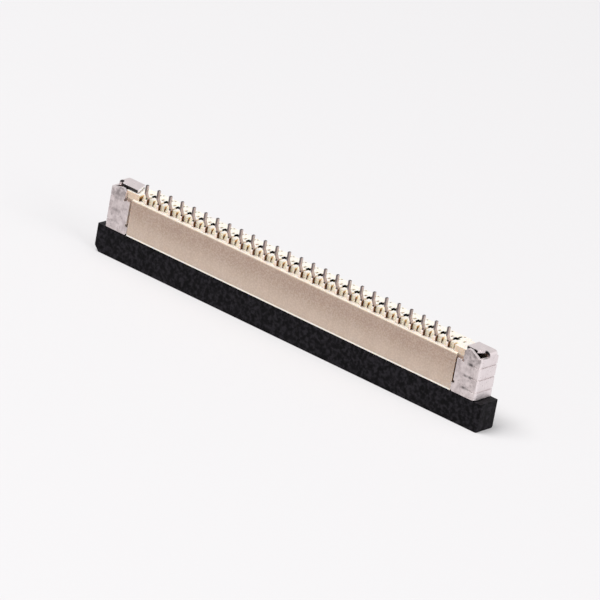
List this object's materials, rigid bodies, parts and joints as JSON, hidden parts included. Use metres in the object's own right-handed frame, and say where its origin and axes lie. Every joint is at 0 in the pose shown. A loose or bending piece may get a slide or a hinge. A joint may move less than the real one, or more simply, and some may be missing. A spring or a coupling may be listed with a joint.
{
  "type": "flat cable connector",
  "caption": "Zero-insertion-force connector for a flat flexible cable: beige housing, stamped contacts with solder tails, folded solder tabs and a black locking slider.",
  "frame": {"origin": "middle of the slider's mating face, under the centre of the whole part", "axes": "+X along the row of contacts, +Z from the mating face to the solder tails, -Y out of the soldering plane"},
  "size_m": [0.032, 0.0018, 0.0058],
  "materials": {
    "housing": "fine matte, heat-resistant moulding",
    "slider": "fine matte, black moulding",
    "contact": "plated copper alloy strip, stamped",
    "tab": "dull tin-plated sheet, folded"
  },
  "bodies": {
    "fixed_body": {"housing": "housing", "contact_01": "contact", "contact_02": "contact", "contact_03": "contact", "contact_04": "contact", "contact_05": "contact", "contact_06": "contact", "contact_07": "contact", "contact_08": "contact", "contact_09": "contact", "contact_10": "contact", "contact_11": "contact", "contact_12": "contact", "contact_13": "contact", "contact_14": "contact", "contact_15": "contact", "contact_16": "contact", "contact_17": "contact", "contact_18": "contact", "contact_19": "contact", "contact_20": "contact", "contact_21": "contact", "contact_22": "contact", "contact_23": "contact", "contact_24": "contact", "contact_25": "contact", "contact_26": "contact", "solder_tab_left": "tab", "solder_tab_right": "tab"},
    "moving_slider": {"slider": "slider"}
  },
  "joints": [
    {"name": "slider_stroke", "type": "slide", "parent": "fixed_body", "child": "moving_slider", "axis": [0, 0, -1], "range_m": [0, 0.00115]}
  ]
}
